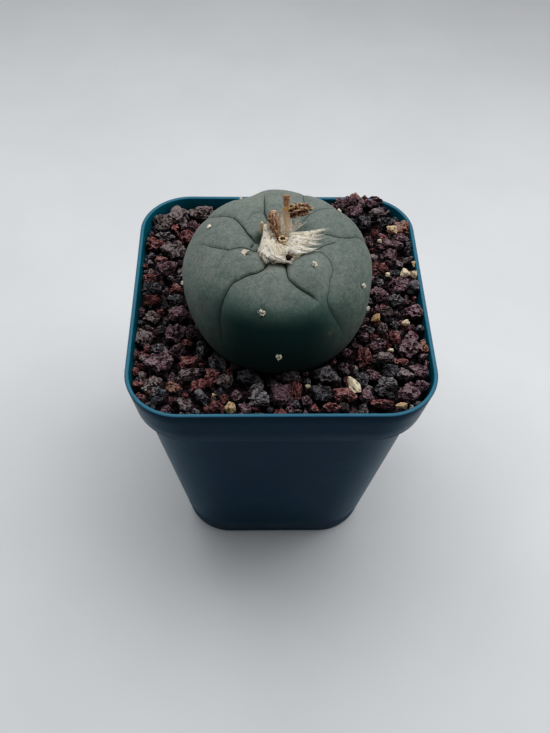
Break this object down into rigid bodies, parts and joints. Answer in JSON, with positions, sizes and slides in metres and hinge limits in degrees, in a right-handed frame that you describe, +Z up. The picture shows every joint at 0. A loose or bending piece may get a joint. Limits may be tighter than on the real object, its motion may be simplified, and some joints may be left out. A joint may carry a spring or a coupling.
{
  "type": "potted button cactus",
  "caption": "Round spineless cactus with a woolly dished crown, growing in coarse lava grit in a square tapered plastic pot.",
  "frame": {"origin": "on the ground plane, under the middle of the pot", "axes": "+Z up, out of the pot's mouth; -Y to the viewer's side of the pot, square to one of its faces; +X to the viewer's right"},
  "size_m": [0.09, 0.09, 0.1339],
  "materials": {
    "pot": "satin moulded plastic, dark blue-green",
    "grit": "rough porous lava in red, brown and charcoal, with a few pale chips",
    "skin": "matte waxy bloom over grey-green skin",
    "wool": "matted cream fibres",
    "dried_brown": "dry, wrinkled, brown",
    "dried_tan": "dry, papery, tan"
  },
  "bodies": {
    "root": {"pot": "pot", "grit_bed": "grit", "cactus_body": "skin", "crown_wool": "wool", "dried_flower_tall": "dried_brown", "dried_flower_stub": "dried_brown", "dried_flower_cup": "dried_tan", "dried_scale": "dried_tan"}
  },
  "joints": []
}
